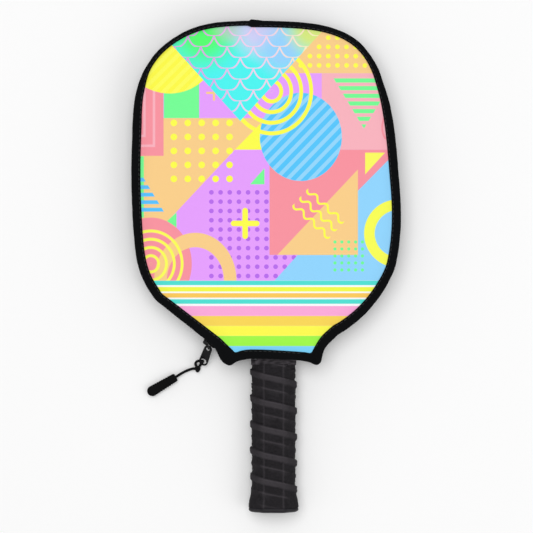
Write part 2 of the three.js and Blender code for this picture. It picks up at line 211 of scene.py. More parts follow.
def copies(name, base, base_faces, places, material):
    """One mesh of many small copies: each place gives an origin and the three axes of a copy."""
    base = np.asarray(base, float)
    points = np.concatenate([origin + base @ np.array(axes) for origin, axes in places])
    faces = [tuple(v + k * len(base) for v in f) for k in range(len(places)) for f in base_faces]
    return mesh_object(name, points, faces, material)


def bead(length, radius, sides=6):
    """A short rounded rod along X: its points and faces."""
    shape = [(-0.5, 0.45), (-0.36, 1.0), (0.36, 1.0), (0.5, 0.45)]
    points = [(length * x, radius * r * math.cos(a), radius * r * math.sin(a))
              for x, r in shape for a in circle(sides)]
    return points, flipped(ring_faces(len(shape), sides))


def wobble(x, y, z, size):
    """Smooth variation from -1 to 1 over features of about that size."""
    return noise.noise(Vector((x / size, y / size, z / size)))


# ---- materials ----
def linear(red, green, blue):
    """A colour given in display values from 0 to 255."""
    return tuple(c / 255 / 12.92 if c <= 10.3 else ((c / 255 + 0.055) / 1.055) ** 2.4
                 for c in (red, green, blue)) + (1.0,)


class Field:
    """A number that varies over a surface. Arithmetic on it adds Math nodes to the material's tree."""

    def __init__(self, tree, socket):
        self.tree = tree
        self.socket = socket

    def math(self, operation, *values, clamp=False):
        node = self.tree.nodes.new("ShaderNodeMath")
        node.operation = operation
        node.use_clamp = clamp
        for index, value in enumerate((self, *values)):
            if isinstance(value, Field):
                self.tree.links.new(value.socket, node.inputs[index])
            else:
                node.inputs[index].default_value = value
        return Field(self.tree, node.outputs[0])

    def __add__(self, other):
        return self.math("ADD", other)

    def __sub__(self, other):
        return self.math("SUBTRACT", other)

    def __mul__(self, other):
        return self.math("MULTIPLY", other)

    def __abs__(self):
        return self.math("ABSOLUTE")

    def scale_add(self, factor, term):
        return self.math("MULTIPLY_ADD", factor, term)

    def most(self, other):
        return self.math("MAXIMUM", other)

    def least(self, other):
        return self.math("MINIMUM", other)

    def outside(self, low, high):
        """How far the value is outside a range, negative within it."""
        return abs(self - (low + high) / 2) - (high - low) / 2

    def to_nearest(self, pitch):
        """Distance to the nearest multiple of the pitch."""
        return self.math("PINGPONG", pitch / 2)

    def sine(self, period):
        return (self * (2 * math.pi / period)).math("SINE")

    def hypot(self, other):
        return (other * other).math("ADD", self * self).math("SQRT")

    def inside(self, softness=0.25):
        """1 where a distance is negative, 0 where it is positive."""
        return self.math("MULTIPLY_ADD", -1 / softness, 0.5, clamp=True)


def mix_colour(tree, factor, first, second):
    node = tree.nodes.new("ShaderNodeMix")
    node.data_type = "RGBA"
    for socket, value in ((node.inputs["Factor"], factor), (node.inputs[6], first), (node.inputs[7], second)):
        if isinstance(value, Field):
            tree.links.new(value.socket, socket)
        elif isinstance(value, bpy.types.NodeSocket):
            tree.links.new(value, socket)
        else:
            socket.default_value = value
    return node.outputs[2]


def attribute(tree, name, output):
    """A socket that reads one of the mesh's own attributes."""
    node = tree.nodes.new("ShaderNodeAttribute")
    node.attribute_name = name
    return node.outputs[output]


def coordinates(tree, source):
    """Fields across, along and up: millimetres in the part's own frame, or along a strip."""
    if source == "strip":
        socket = attribute(tree, "strip", "Vector")
    else:
        socket = tree.nodes.new("ShaderNodeTexCoord").outputs["Object"]
    scale = tree.nodes.new("ShaderNodeVectorMath")
    scale.operation = "SCALE"
    scale.inputs["Scale"].default_value = 1000
    tree.links.new(socket, scale.inputs[0])
    split = tree.nodes.new("ShaderNodeSeparateXYZ")
    tree.links.new(scale.outputs[0], split.inputs[0])
    return [Field(tree, s) for s in split.outputs], scale.outputs[0]


def cloud(tree, vector, size, detail=3.0):
    """A noise Field from 0 to 1, with features of about that many millimetres."""
    node = tree.nodes.new("ShaderNodeTexNoise")
    node.inputs["Scale"].default_value = 1 / size
    node.inputs["Detail"].default_value = detail
    tree.links.new(vector, node.inputs["Vector"])
    return Field(tree, node.outputs["Fac"])


def knit(fields, pitch):
    """Rows of rounded stitches."""
    across, along, _ = fields
    return across.sine(pitch) * along.sine(pitch * 1.4)


def twill(fields, pitch):
    """Ribs across a woven tape, with a finer diagonal."""
    across, along, _ = fields
    return along.sine(pitch) * 0.6 + (across + along).sine(pitch * 0.7) * 0.4


def braid(fields, pitch):
    across, along, _ = fields
    return (along + across * 1.3).sine(pitch) * (along - across * 1.3).sine(pitch)


def bare_material(name, **shader):
    """A material with these values on its shader's own sockets, an underscore standing for each space."""
    material = bpy.data.materials.new(name)
    material.use_nodes = True
    tree = material.node_tree
    principled = tree.nodes["Principled BSDF"]
    for socket, value in shader.items():
        principled.inputs[socket.replace("_", " ")].default_value = value
    return material, tree, principled


def raise_surface(tree, principled, height):
    """Bumps the surface by a height Field in metres."""
    bump = tree.nodes.new("ShaderNodeBump")
    bump.inputs["Distance"].default_value = 1.0
    tree.links.new(height.socket, bump.inputs["Height"])
    tree.links.new(bump.outputs[0], principled.inputs["Normal"])


def surface(name, colour, worn_and_lit, roughness, texture=None, pitch=1.0, depth=0.0, source="object", grain=0.4,
            grain_depth=0.0, patch=25.0, relief=0.0, speckle=0.3, **shader):
    """A material whose colour drifts towards a second shade: for wear in patches, for painted light where its
    relief attribute says, and a little on a weave's raised threads, with a weave or grain raised on it.

    relief is the share of that drift that comes from the mesh's own relief attribute, not from the patches;
    on the handle's wrap that attribute holds painted light and painted highlights.
    """
    material, tree, principled = bare_material(name, **shader)
    fields, vector = coordinates(tree, source)
    place = vector if source == "object" else coordinates(tree, "object")[1]
    patches = cloud(tree, place, patch)
    fine = cloud(tree, place, grain, 2.0)
    shade = patches.scale_add(1.6, -0.3).math("MULTIPLY_ADD", 1 - speckle, fine * speckle, clamp=True)
    height = fine * (grain_depth * MM)
    if relief:
        own = Field(tree, attribute(tree, "relief", "Fac"))
        shade = shade.math("MULTIPLY_ADD", 1 - relief, own * relief, clamp=True)
    if texture:
        raised = texture(fields, pitch)
        shade = shade.math("MULTIPLY_ADD", 0.8, raised.scale_add(0.1, 0.1), clamp=True)
        height = height + raised * (depth * MM)
    # the second colour stands for wear in patches and, through the relief attribute, for painted light
    tree.links.new(mix_colour(tree, shade, linear(*colour), linear(*worn_and_lit)), principled.inputs["Base Color"])
    low, high = roughness
    tree.links.new(patches.scale_add(high - low, low).socket, principled.inputs["Roughness"])
    raise_surface(tree, principled, height)
    return material


def fabric(name, colour, worn_and_lit, texture, pitch, depth, source="object", **more):
    return surface(name, colour, worn_and_lit, (0.85, 1.0), texture, pitch, depth, source, grain=0.5,
                   grain_depth=0.05, Specular_IOR_Level=0.08, Sheen_Weight=0.015, Sheen_Roughness=0.5, **more)


binding_tape = fabric("binding_tape", (4, 5, 6), (14, 15, 17), twill, 0.9, 0.05, "strip")
zip_tape = fabric("zip_tape", (14, 14, 16), (30, 30, 33), twill, 0.7, 0.05, "strip")
stretch_fabric = fabric("stretch_fabric", (15, 15, 17), (28, 28, 31), knit, 0.8, 0.05, "strip")
plain_knit = fabric("plain_knit", (20, 20, 22), (34, 34, 37), knit, 0.9, 0.07, patch=45.0)
lining = fabric("lining", (24, 24, 26), (40, 40, 43), knit, 1.1, 0.08, patch=35.0)
thread = surface("thread", (18, 18, 20), (42, 42, 46), (0.5, 0.7), twill, 0.35, 0.04, Specular_IOR_Level=0.4)
nylon = surface("nylon", (16, 16, 18), (36, 36, 40), (0.35, 0.55), grain=0.6, grain_depth=0.02, patch=8.0)
painted_metal = surface("painted_metal", (4, 4, 5), (20, 20, 22), (0.3, 0.48), grain=0.8, grain_depth=0.02,
                        patch=3.0, Specular_IOR_Level=0.2, Coat_Weight=0.08, Coat_Roughness=0.2)
braided = surface("braided", (6, 6, 7), (26, 26, 29), (0.7, 0.9), braid, 1.1, 0.16, "strip",
                  grain_depth=0.05, Specular_IOR_Level=0.15)
soft_rubber = surface("soft_rubber", (3, 3, 4), (14, 14, 15), (0.6, 0.85), grain=0.35, grain_depth=0.04,
                      patch=7.0, Specular_IOR_Level=0.08)
# the grip leather's light colour comes mostly through the relief attribute: painted light and painted
# highlights on the wrap
grip_leather = surface("grip_leather", (3, 2, 5), (88, 83, 88), (0.55, 0.85), grain=1.5, grain_depth=0.4,
                       patch=5.0, relief=0.82, speckle=0.6, Specular_IOR_Level=0.14)
cap_rubber = surface("cap_rubber", (12, 11, 14), (44, 41, 46), (0.4, 0.62), grain=0.8, grain_depth=0.08,
                     patch=9.0, Specular_IOR_Level=0.2)
face_weave = surface("face_weave", (30, 34, 40), (56, 61, 68), (0.34, 0.5), knit, 3.0, 0.03, grain=0.4,
                     grain_depth=0.06, patch=30.0, Coat_Weight=0.2, Coat_Roughness=0.3)
guard_plastic = surface("guard_plastic", (20, 20, 22), (50, 50, 54), (0.45, 0.65), grain=0.7,
                        grain_depth=0.05)
honeycomb = surface("honeycomb", (52, 53, 56), (78, 80, 84), (0.6, 0.8), knit, 8.0, 0.4, grain_depth=0.05)
foam = surface("foam", (62, 62, 64), (86, 86, 88), (0.8, 0.95), grain=0.9, grain_depth=0.2, patch=10.0)


# ---- the printed panel's pattern ----
YELLOW = (254, 255, 76)
CORAL = (250, 148, 161)
ORANGE = (251, 208, 139)
PURPLE = (231, 160, 255)
GREEN = (116, 254, 150)
SKY = (145, 214, 255)
PINK = (250, 180, 191)
AQUA = (78, 226, 212)
WHITE = (253, 253, 253)


class Print:
    """Shapes painted one over another. A shape is a distance Field, in millimetres, negative inside it."""

    def __init__(self, tree, across, up, ground):
        self.tree, self.x, self.y = tree, across, up
        self.colour = linear(*ground)

    def paint(self, shape, colour):
        ink = colour if isinstance(colour, bpy.types.NodeSocket) else linear(*colour)
        self.colour = mix_colour(self.tree, shape.inside(), self.colour, ink)

    def box(self, left, right, low, high):
        return self.x.outside(left, right).most(self.y.outside(low, high))

    def polygon(self, *corners):
        """A convex polygon."""
        turn = sum(a[0] * b[1] - b[0] * a[1] for a, b in zip(corners, corners[1:] + corners[:1]))
        shape = None
        for (ax, ay), (bx, by) in zip(corners, corners[1:] + corners[:1]):
            length = math.hypot(bx - ax, by - ay) * math.copysign(1, turn)
            nx, ny = (by - ay) / length, (ax - bx) / length
            side = self.x.scale_add(nx, self.y.scale_add(ny, -nx * ax - ny * ay))
            shape = side if shape is None else shape.most(side)
        return shape

    def from_centre(self, x, y, ratio=1.0):
        return (self.x - x).hypot((self.y - y) * ratio)

    def disc(self, x, y, radius, tall=None):
        return self.from_centre(x, y, radius / (tall or radius)) - radius

    def ring(self, x, y, outer, inner, ratio=1.0):
        return self.from_centre(x, y, ratio).outside(inner, outer)

    def rings(self, x, y, outer, step, width, ratio=1.0, count=4):
        """Evenly stepped rings, the largest of that outer radius."""
        far = self.from_centre(x, y, ratio)
        lines = (far - (outer - width / 2)).to_nearest(step) - width / 2
        return lines.most(far.outside(outer - count * step, outer))

    def dots(self, first, steps, pitch, radius):
        """A block of dots from its upper left one."""
        across = (self.x - first[0]).to_nearest(pitch[0])
        down = (self.y - first[1]).to_nearest(pitch[1])
        block = self.box(first[0] - pitch[0] / 2, first[0] + (steps[0] - 0.5) * pitch[0],
                         first[1] - (steps[1] - 0.5) * pitch[1], first[1] + pitch[1] / 2)
        return (across.hypot(down) - radius).most(block)

    def stripes(self, degrees, pitch, width, start=0.0):
        """Endless stripes whose lines run at that angle."""
        nx, ny = -math.sin(math.radians(degrees)), math.cos(math.radians(degrees))
        return self.x.scale_add(nx, self.y.scale_add(ny, start)).to_nearest(pitch) - width / 2

    def bar(self, x, y, half_x, half_y, radius):
        """A bar with round ends."""
        across = (abs(self.x - x) - (half_x - radius)).most(0.0)
        return across.hypot((abs(self.y - y) - (half_y - radius)).most(0.0)) - radius

    def squiggles(self, start, end, waves, rows, spacing, width):
        """Wavy lines side by side, the first from start to end."""
        length = math.hypot(end[0] - start[0], end[1] - start[1])
        ux, uy = (end[0] - start[0]) / length, (end[1] - start[1]) / length
        along = self.x.scale_add(ux, self.y.scale_add(uy, -ux * start[0] - uy * start[1]))
        beside = self.x.scale_add(uy, self.y.scale_add(-ux, -uy * start[0] + ux * start[1]))
        turn = along * (2 * math.pi * waves / length)
        wave = beside - turn.math("SINE") * 1.9
        slope = turn.math("COSINE") * (1.9 * 2 * math.pi * waves / length)
        line = wave.to_nearest(spacing) * (slope * slope + 1).math("INVERSE_SQRT") - width / 2
        return line.most(along.outside(0, length).most(beside.outside(-spacing / 2, (rows - 0.5) * spacing)))

    def scallops(self, vertex, pitch, row):
        """Lines of fish scales hanging from points, each row shifted by half a scale."""
        level = (self.y - vertex[1]) * (1 / row)
        base = level.math("FLOOR")
        shift = (base + 1).math("FLOORED_MODULO", 2.0) * (pitch / 2)
        near = abs((self.x - vertex[0] - shift).to_nearest(pitch) * (-2 / pitch) + 1)
        curve = near.math("POWER", 3.3)
        slope = near.math("POWER", 2.3) * 2.7
        steep = slope * slope + 1
        return abs(level - base - curve) * row * steep.math("INVERSE_SQRT") - 0.62


def cool_fill(pattern):
    """The scaled triangle's colour, which drifts from cyan at its point to lilac and green above."""
    colour = linear(74, 246, 242)
    for x, y, size, shade in ((-52, 192, 30, (84, 255, 112)), (-30, 197, 15, (172, 216, 186)),
                              (-5, 193, 24, (208, 208, 248)), (13, 176, 21, (150, 212, 255)),
                              (37, 193, 21, (216, 236, 128))):
        near = pattern.from_centre(x, y).math("MULTIPLY_ADD", -1 / size, 1.3, clamp=True)
        glow = near * near * (near * -2.0 + 3.0)
        colour = mix_colour(pattern.tree, glow, colour, linear(*shade))
    return colour


def scale_line(pattern):
    """The scale lines' colour, lilac at the left, near white in the middle and cream at the right."""
    left = pattern.x.math("MULTIPLY_ADD", -1 / 30, -0.6, clamp=True)
    right = pattern.x.math("MULTIPLY_ADD", 1 / 40, 0.1, clamp=True)
    colour = mix_colour(pattern.tree, left, linear(244, 208, 238), linear(222, 158, 234))
    return mix_colour(pattern.tree, right, colour, linear(252, 240, 190))


def geometric_print(tree, across, up):
    pattern = Print(tree, across, up, SKY)
    paint, box, polygon, disc = pattern.paint, pattern.box, pattern.polygon, pattern.disc
    ring, rings, dots, stripes, bar = pattern.ring, pattern.rings, pattern.dots, pattern.stripes, pattern.bar
    # left: orange ground, framed coral block, circle and small blocks
    paint(box(-112, -3.5, -12, 121), ORANGE)
    paint(box(-112, -100, 39.9, 89.9), GREEN)
    ramp = polygon((-112, 72.5), (-100.4, 72.5), (-83.4, 44.4), (-112, 44.4))
    paint(stripes(0, 6.13, 3.1, -46.3).most(ramp), (88, 196, 255))
    paint(box(-54.9, 45, 121, 205), PURPLE)
    paint(box(-83.5, -54.9, 121, 205), GREEN)
    paint(box(-112, -83.9, 90.2, 205), CORAL)
    paint(abs(box(-112, -91.7, 98.4, 205)) - 1, (252, 180, 192))
    paint(abs(box(-112, -99.5, 106.5, 205)) - 1, (252, 180, 192))
    sun = disc(-78.9, 181.3, 40.3)
    paint(sun, (254, 251, 70))
    paint(stripes(45, 6.4, 3.2).most(sun), (255, 255, 92))
    paint(bar(-42.8, 141.5, 6.5, 0.9, 0.9).least(bar(-42.8, 141.5, 0.9, 6.5, 0.9)), ORANGE)
    # upper right
    paint(box(10, 112, 95.2, 157.5), PINK)
    paint(box(-20, 45, 121, 157.5), PURPLE)
    paint(box(10, 112, 157.5, 205), ORANGE)
    dotted = polygon((22, 162.1), (64, 204.1), (112, 204.1), (112, 157), (22, 157))
    paint(dots((27.9, 186.6), (8, 4), (7.47, 7.57), 1.9).most(dotted), YELLOW)
    paint(stripes(0, 6.25, 3.4, -151.6).most(polygon((54.6, 153.4), (104.3, 153.4), (79.4, 112.4))), GREEN)
    paint(ring(112, 113.5, 18.4, 16.9).most(box(60, 112, 103.9, 123)), CORAL)
    # middle: coral and purple blocks
    paint(box(2.4, 99.8, 9.4, 95.2), CORAL)
    paint(polygon((99.8, 87.4), (74.5, 61.7), (74.5, 9.4), (112, 9.4), (112, 87.4)), SKY)
    paint(polygon((74.5, 79.1), (74.5, 9.4), (8.8, 9.4)), ORANGE)
    paint(polygon((80.4, 92.8), (96.6, 92.8), (80.4, 75.1)), (252, 252, 96))
    paint(pattern.squiggles((33.1, 62.7), (62.7, 35.7), 3.5, 3, 8.3, 1.7), YELLOW)
    paint(polygon((-3.5, 95.2), (-25.8, 95.2), (-79.9, 37.6), (2.4, 37.6), (2.4, 95.2)), PURPLE)
    paint(box(-73.4, 2.4, -11.6, 44), PURPLE)
    paint(polygon((2.4, -11.6), (2.4, 9.4), (25.4, 9.4), (6.4, -11.6)), PURPLE)
    paint(polygon((-73.4, 44), (-73.4, 30.9), (-81, 37)), GREEN)
    paint(polygon((-4.9, 116.5), (-25.8, 95.2), (-3.5, 95.2)), YELLOW)
    paint(dots((-75.5, 117.0), (5, 5), (11.35, 11.4), 2.7), YELLOW)
    paint(dots((-44.9, 60.4), (7, 10), (7.47, 7.57), 1.9), (184, 109, 238))
    spill = polygon((0, 9.4), (25.4, 9.4), (6.4, -12), (0, -12))
    paint(dots((7.4, 7.4), (3, 3), (7.47, 7.57), 1.9).most(spill), (184, 109, 238))
    paint(polygon((-1.7, 80), (-1.7, 67), (-13.3, 67)), GREEN)
    paint(bar(-17.4, 35.1, 11.7, 2.3, 2.3).least(bar(-17.4, 35.1, 2.3, 12.7, 2.3)), YELLOW)
    # lower left: coral circle, orange arch, yellow rings
    paint(disc(-94.3, 2.2, 33.4, 37.7), CORAL)
    paint(ring(-58, -11, 33.5, 23.2, 0.87), ORANGE)
    paint(rings(-94.3, 2.2, 26.7, 6.4, 2.3, 0.955), (252, 255, 88))
    # right: ring and small dots
    paint(ring(107.3, 26.9, 27.8, 19.1), (250, 255, 84))
    paint(dots((55.8, 20.0), (5, 5), (5.6, 5.7), 1.3), (112, 252, 150))
    # striped disc, scaled triangle over it, and the rings over the disc
    ball = disc(28.0, 105.6, 33.4, 35.9)
    paint(ball, (148, 216, 253))
    paint(stripes(46, 6.85, 3.7, -6.27).most(ball), (84, 199, 253))
    paint(rings(4.2, 142.8, 33.8, 8.13, 3.1, 0.94), YELLOW)
    scaled = polygon((-21.4, 118.6), (-92.9, 198.0), (-92.9, 210), (62, 210), (51.6, 198.6))
    paint(scaled, cool_fill(pattern))
    paint(pattern.scallops((-21.4, 134.7), 21.4, 8.87).most(scaled), scale_line(pattern))
    # bands across the bottom
    paint(box(-112, 112, -90, -11.5), WHITE)
    for low, high, colour in (
            (-15.2, -11.6, AQUA), (-20.4, -16.7, (244, 252, 71)), (-25.4, -21.7, (253, 203, 90)),
            (-30.4, -26.7, AQUA), (-40.3, -32.2, (253, 171, 219)), (-48.4, -40.3, (251, 216, 86)),
            (-56.6, -48.4, (255, 252, 77)), (-64.9, -56.6, (161, 250, 70)), (-90, -64.9, (124, 214, 255))):
        paint(pattern.y.outside(low, high), colour)
    return pattern.colour


def printed_fabric():
    """The front panel's printed neoprene: ink on a fine knit that shows through it a little."""
    material, tree, principled = bare_material("printed_fabric", Specular_IOR_Level=0.06)
    fields, vector = coordinates(tree, "object")
    ink = geometric_print(tree, fields[0], fields[1])
    stitches = knit(fields, 0.9)
    patches = cloud(tree, vector, 40.0)
    fade = stitches.scale_add(0.015, patches * 0.05)
    tree.links.new(mix_colour(tree, fade, ink, linear(196, 190, 196)), principled.inputs["Base Color"])
    tree.links.new(patches.scale_add(0.14, 0.78).socket, principled.inputs["Roughness"])
    raise_surface(tree, principled, stitches * 0.00004)
    return material


printed = printed_fabric()


# ---- the case's edge, taken from the CAD panel ----
PANEL_LAP = 0.0013      # how far the CAD panel's squeezed edge sits inside the outer edge
PANEL_GAP = 0.0003      # gap between the CAD binding and the full-thickness panel
EDGE_SAMPLES = 520


def contour(level, without=()):
    """The front panel's corner points at one height, counterclockwise about the middle of the case."""
    points = {(round(v.co.x, 6), round(v.co.y, 6)) for v in nodes["front_panel"].data.vertices
              if abs(v.co.z - level) < 1e-5} - {tuple(p) for p in without}
    return sorted(points, key=lambda p: math.atan2(p[1] - 0.04, p[0] - 0.002))


def resample(outer, inner, count):
    """The two edges at evenly spaced stations round the case."""
    size = len(outer)
    both = np.hstack([outer, inner])
    run = np.linalg.norm(np.roll(outer, -1, 0) - outer, axis=1)
    ends = sums(run)
    distance = np.arange(count) * ends[-1] / count
    k = np.searchsorted(ends, distance, side="right") - 1
    t = ((distance - ends[k]) / run[k])[:, None]
    p0, p1, p2, p3 = (both[(k + d) % size] for d in (-1, 0, 1, 2))
    before, here, after = (run[(k + d) % size][:, None] for d in (-1, 0, 1))
    m1 = ((p1 - p0) / before + (p2 - p1) / here) / 2 * here
    m2 = ((p2 - p1) / here + (p3 - p2) / after) / 2 * here
    found = ((2 * t ** 3 - 3 * t ** 2 + 1) * p1 + (t ** 3 - 2 * t ** 2 + t) * m1
             + (-2 * t ** 3 + 3 * t ** 2) * p2 + (t ** 3 - t ** 2) * m2)
    return found[:, :2], found[:, 2:]


def rounded(t):
    """A smooth step from 0 to 1."""
    t = min(max(t, 0.0), 1.0)
    return t * t * (3 - 2 * t)


def case_edge():
    face = contour(CASE_DEPTH)
    rim = np.array(contour(0.0251, face))
    face = np.array(face)
    best = min(range(len(rim)), key=lambda s: np.linalg.norm(np.roll(rim, s, 0) - face, axis=1).sum())
    rim = np.roll(rim, best, 0)
    inward = unit(face - rim)
    outer, inner = resample(rim - PANEL_LAP * inward, face - PANEL_GAP * inward, EDGE_SAMPLES)
    for k, (x, y) in enumerate(outer):
        pull = 0.24 * rounded((y - 0.145) / 0.02) * rounded((-0.012 - x) / 0.004)   # tape drawn tighter here
        inner[k] += pull * (outer[k] - inner[k])
    left_ear = int(np.argmin(np.where(outer[:, 0] < 0, outer[:, 1], 1)))
    return np.roll(outer, -left_ear, 0), np.roll(inner, -left_ear, 0)


OUTER, INNER = case_edge()
INWARD = unit(INNER - OUTER)
WIDTH = np.linalg.norm(INNER - OUTER, axis=1)


def nearest(x, y):
    return int(np.argmin(np.hypot(OUTER[:, 0] - x, OUTER[:, 1] - y)))


RIGHT_EAR = int(np.argmin(np.where(OUTER[:, 0] > 0, OUTER[:, 1], 1)))
gusset_low, gusset_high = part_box("side_gusset_back")
tape_low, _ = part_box("back_zip_tape")
GUSSET_START = nearest(gusset_low.x, gusset_low.y) + 1
GUSSET_END = nearest(gusset_high.x, gusset_high.y)
ZIP_END = max(k for k in range(GUSSET_END, EDGE_SAMPLES) if OUTER[k, 1] > tape_low.y)
THROAT = range(0, RIGHT_EAR + 1)
RIM = range(RIGHT_EAR, EDGE_SAMPLES + 1)
GUSSET = range(GUSSET_START, GUSSET_END + 1)
ZIP = range(GUSSET_END + 2, ZIP_END + 1)


def edge_point(k, share, inset, z):
    """A point of the edge's section: share of the way across the binding, plus metres inwards."""
    k %= EDGE_SAMPLES
    x, y = OUTER[k] + share * (INNER[k] - OUTER[k]) + inset * INWARD[k]
    return np.array((x, y, z))


# ---- panels ----
RINGS = 30


def panel_height(x, y, to_edge):
    """The front panel's height over its flat plane: it dips at the binding and swells over the paddle."""
    dip = -0.0011 * (1 - rounded(to_edge / 0.009))
    swell = 0.0007 * rounded(to_edge / 0.045)
    ridge = 0.00035 * math.exp(-((to_edge - 0.0085) / 0.0035) ** 2)
    waves = 0.00022 * wobble(x, y, 0.3, 0.055) + 0.00008 * wobble(x, y, 1.7, 0.017)
    return dip + swell + ridge + waves * rounded(to_edge / 0.012)


def panel(name, low, high, outside, inside, up):
    """A neoprene panel with its printed or plain side outwards. Its rim is squeezed inside the binding."""
    middle = np.array((0.002, 0.052))
    spine = np.stack([OUTER[:, 0] * 0.12 + middle[0] * 0.88, OUTER[:, 1] * 0.3 + middle[1] * 0.7], 1)
    rim = OUTER + INWARD * (WIDTH * 0.45)[:, None]
    shares = 1 - (1 - np.arange(RINGS + 1) / RINGS) ** 1.25
    rings = [rim * (1 - t) + spine * t for t in shares]
    inset = np.array([np.linalg.norm(r - INNER, axis=1) * np.sign(((r - INNER) * INWARD).sum(1))
                      for r in rings])
    picks = range(0, EDGE_SAMPLES, 2)
    size = len(picks)
    outer_side, inner_side = [], []
    for ring, row in enumerate(rings):
        for k in picks:
            x, y = row[k]
            deep = max(inset[ring, k], 0.0)
            lift = panel_height(x, y, deep) if up else 0.0009 * (1 - rounded(deep / 0.009))
            squeeze = 0.0012 * (1 - rounded((inset[ring, k] + 0.0015) / 0.004))
            if up:
                outer_side.append((x, y, high - 0.0003 + lift - squeeze * 0.3))
                inner_side.append((x, y, low + 0.0002 + squeeze))
            else:
                outer_side.append((x, y, low + lift))
                inner_side.append((x, y, high - 0.0002 - squeeze))
    count = len(rings)
    other = count * size
    outer_faces, inner_faces = band_faces(count, size), band_faces(count, size, other)
    edge_faces = [(j, other + j, other + (j + 1) % size, (j + 1) % size) for j in range(size)]
    if up:
        faces = outer_faces + flipped(inner_faces) + edge_faces
    else:
        faces = flipped(outer_faces) + inner_faces + flipped(edge_faces)
    shell = mesh_object(name, outer_side + inner_side, faces)
    shell.data.materials.append(outside)
    shell.data.materials.append(inside)
    shell.data.polygons.foreach_set("material_index", [k >= (count - 1) * size for k in range(len(faces))])
    close_middle(shell.data, count, size)
    return shell


def close_middle(mesh, count, size):
    """Fills the hole at the middle of each side, along the spine, with triangles."""
    bm = bmesh.new()
    bm.from_mesh(mesh)
    bm.verts.ensure_lookup_table()
    for side in (0, 1):
        first = side * count * size + (count - 1) * size
        loop = [bm.verts[first + j] for j in range(size)]
        edges = [bm.edges.get((loop[j], loop[(j + 1) % size])) for j in range(size)]
        made = bmesh.ops.triangle_fill(bm, use_beauty=True, edges=edges)
        for element in made["geom"]:
            if isinstance(element, bmesh.types.BMFace):
                element.smooth = True
                element.material_index = side
    bmesh.ops.recalc_face_normals(bm, faces=bm.faces)
    bm.to_mesh(mesh)
    bm.free()


front_panel = panel("front_panel_cloth", 0.024, CASE_DEPTH, printed, lining, True)
back_panel = panel("back_panel_cloth", 0.0, 0.004, plain_knit, lining, False)


# ---- bindings ----
LAP_X, LAP_END, LAP_RISE = -0.0125, -0.002, 0.0013   # where the rim binding's ends overlap at the top


def lap(k):
    """The extra thickness of the binding where its ends overlap at the top of the case."""
    x, y = OUTER[k % EDGE_SAMPLES]
    if y < 0.17 or not LAP_X - 0.001 < x < LAP_END:
        return 0.0
    return LAP_RISE * min(rounded((x - LAP_X + 0.001) / 0.001), (LAP_END - x) / (LAP_END - LAP_X))


def binding(name, run, low):
    """Tape folded round a panel's edge, rounded and a little uneven."""
    sections = []
    for k in run:
        x, y = OUTER[k % EDGE_SAMPLES]
        uneven = 0.00022 * wobble(x, y, low * 40, 0.013) + 0.00012 * wobble(x, y, 5 + low * 40, 0.005)
        thick = BINDING + 0.00016 * wobble(x, y, 9 + low * 40, 0.008) + 0.6 * lap(k)
        ring = []
        for a in circle(18):
            across = 0.5 - 0.5 * squared(math.cos(a), 0.55)
            z = low + BINDING / 2 + 0.5 * squared(math.sin(a), 0.62) * thick
            inset = (uneven - lap(k)) * (1 - across)
            ring.append(edge_point(k, across, inset, max(z, 0.00005)))
        sections.append(ring)
    return sweep(name, sections, binding_tape)


back_rim = binding("back_rim_tape", RIM, 0.0)
back_throat = binding("back_throat_tape", THROAT, 0.0)
front_rim = binding("front_rim_tape", RIM, CASE_DEPTH - BINDING)
front_throat = binding("front_throat_tape", THROAT, CASE_DEPTH - BINDING)


def stitches(name, run, z, length=0.0027, gap=0.0012, radius=0.00032):
    """A line of stitches lying on a binding, near its inner edge."""
    path = np.array([edge_point(k, 0, WIDTH[k] - 0.0014, z) for k in run])
    ends = run_length(path)
    places = []
    for distance in np.arange(length, ends[-1] - length, length + gap):
        centre = along_path(distance, ends, path)
        ahead = unit(along_path(distance + 0.001, ends, path) - centre)
        up = np.array((0, 0, 1.0))
        places.append((centre, (ahead, np.cross(up, ahead), up)))
    return copies(name, *bead(length, radius), places, thread)


rim_run, throat_run = range(RIGHT_EAR + 4, EDGE_SAMPLES - 4), range(5, RIGHT_EAR - 4)
stitch_lines = [(stitches(f"{side}_{part}_stitches", run, top - 0.0002), body)
                for side, top, body in (("front", CASE_DEPTH, "front_cover"), ("back", BINDING, "case_back"))
                for part, run in (("rim", rim_run), ("throat", throat_run))]


# ---- zip and gusset ----
TAPE = (0.0025, 0.0034)      # inset of the tape's outer and inner faces
ROW_GAP = 0.0008
TOOTH_PITCH = 0.0018


def wall(name, run, low, high, material, bulge=0.0004, slices=9):
    """A fabric wall between two heights, bulging outwards a little."""
    heights = np.linspace(low, high, slices)
    sections = []
    for k in run:
        x, y = OUTER[k % EDGE_SAMPLES]
        out = [bulge * math.sin(math.pi * s / (slices - 1)) + 0.00012 * wobble(x, y, z * 60, 0.009)
               for s, z in enumerate(heights)]
        outer = [edge_point(k, 0, TAPE[0] - o, z) for o, z in zip(out, heights)]
        inner = [edge_point(k, 0, TAPE[1] - o, z) for o, z in zip(out, heights)][::-1]
        sections.append(outer + inner)
    return sweep(name, sections, material)


back_tape = wall("back_zip_cloth", ZIP, 0.0036, MID_Z - ROW_GAP, zip_tape)
front_tape = wall("front_zip_cloth", ZIP, MID_Z + ROW_GAP, CASE_DEPTH - 0.0036, zip_tape)
gusset = wall("fold_gusset", GUSSET, 0.0037, CASE_DEPTH - 0.0037, stretch_fabric, 0.0012, 25)


